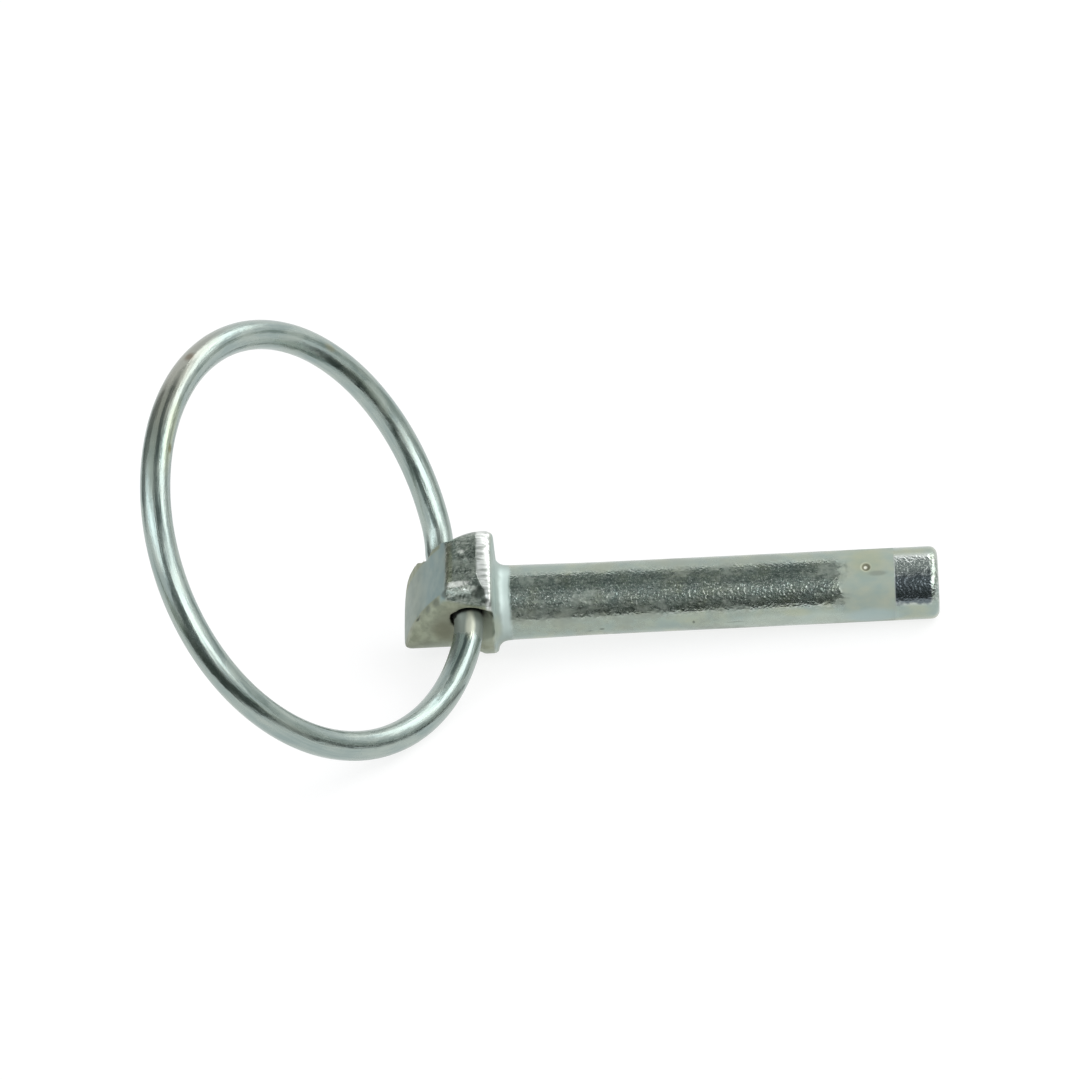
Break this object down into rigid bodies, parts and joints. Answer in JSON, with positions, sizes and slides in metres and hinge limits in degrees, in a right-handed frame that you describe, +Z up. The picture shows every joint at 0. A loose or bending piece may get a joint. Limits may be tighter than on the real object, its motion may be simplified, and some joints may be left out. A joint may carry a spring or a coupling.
{
  "type": "lynch pin",
  "caption": "Forged steel pin with a flat-sided head, a slanting cross hole and a sprung wire ring that swings from behind the head to lie over the shank.",
  "frame": {"origin": "on the shank's axis, in the middle of the shank's parallel length", "axes": "+X along the shank towards its tip, as it lies on a table; +Z up from the table"},
  "size_m": [0.0829, 0.0456, 0.0437],
  "materials": {
    "plated_forging": "weathered zinc plate on a forging, pitted and dull in patches",
    "plated_wire": "zinc plate on drawn spring wire, with fine scores along it"
  },
  "bodies": {
    "pin": {"forged_pin": "plated_forging"},
    "ring": {"spring_ring": "plated_wire"}
  },
  "joints": [
    {"name": "ring_flip", "type": "hinge", "parent": "pin", "child": "ring", "pos_m": [-0.03374, -0.00135, 0.00395], "axis": [0.3295, -0.8521, -0.4065], "range_deg": [-138, 97]}
  ]
}
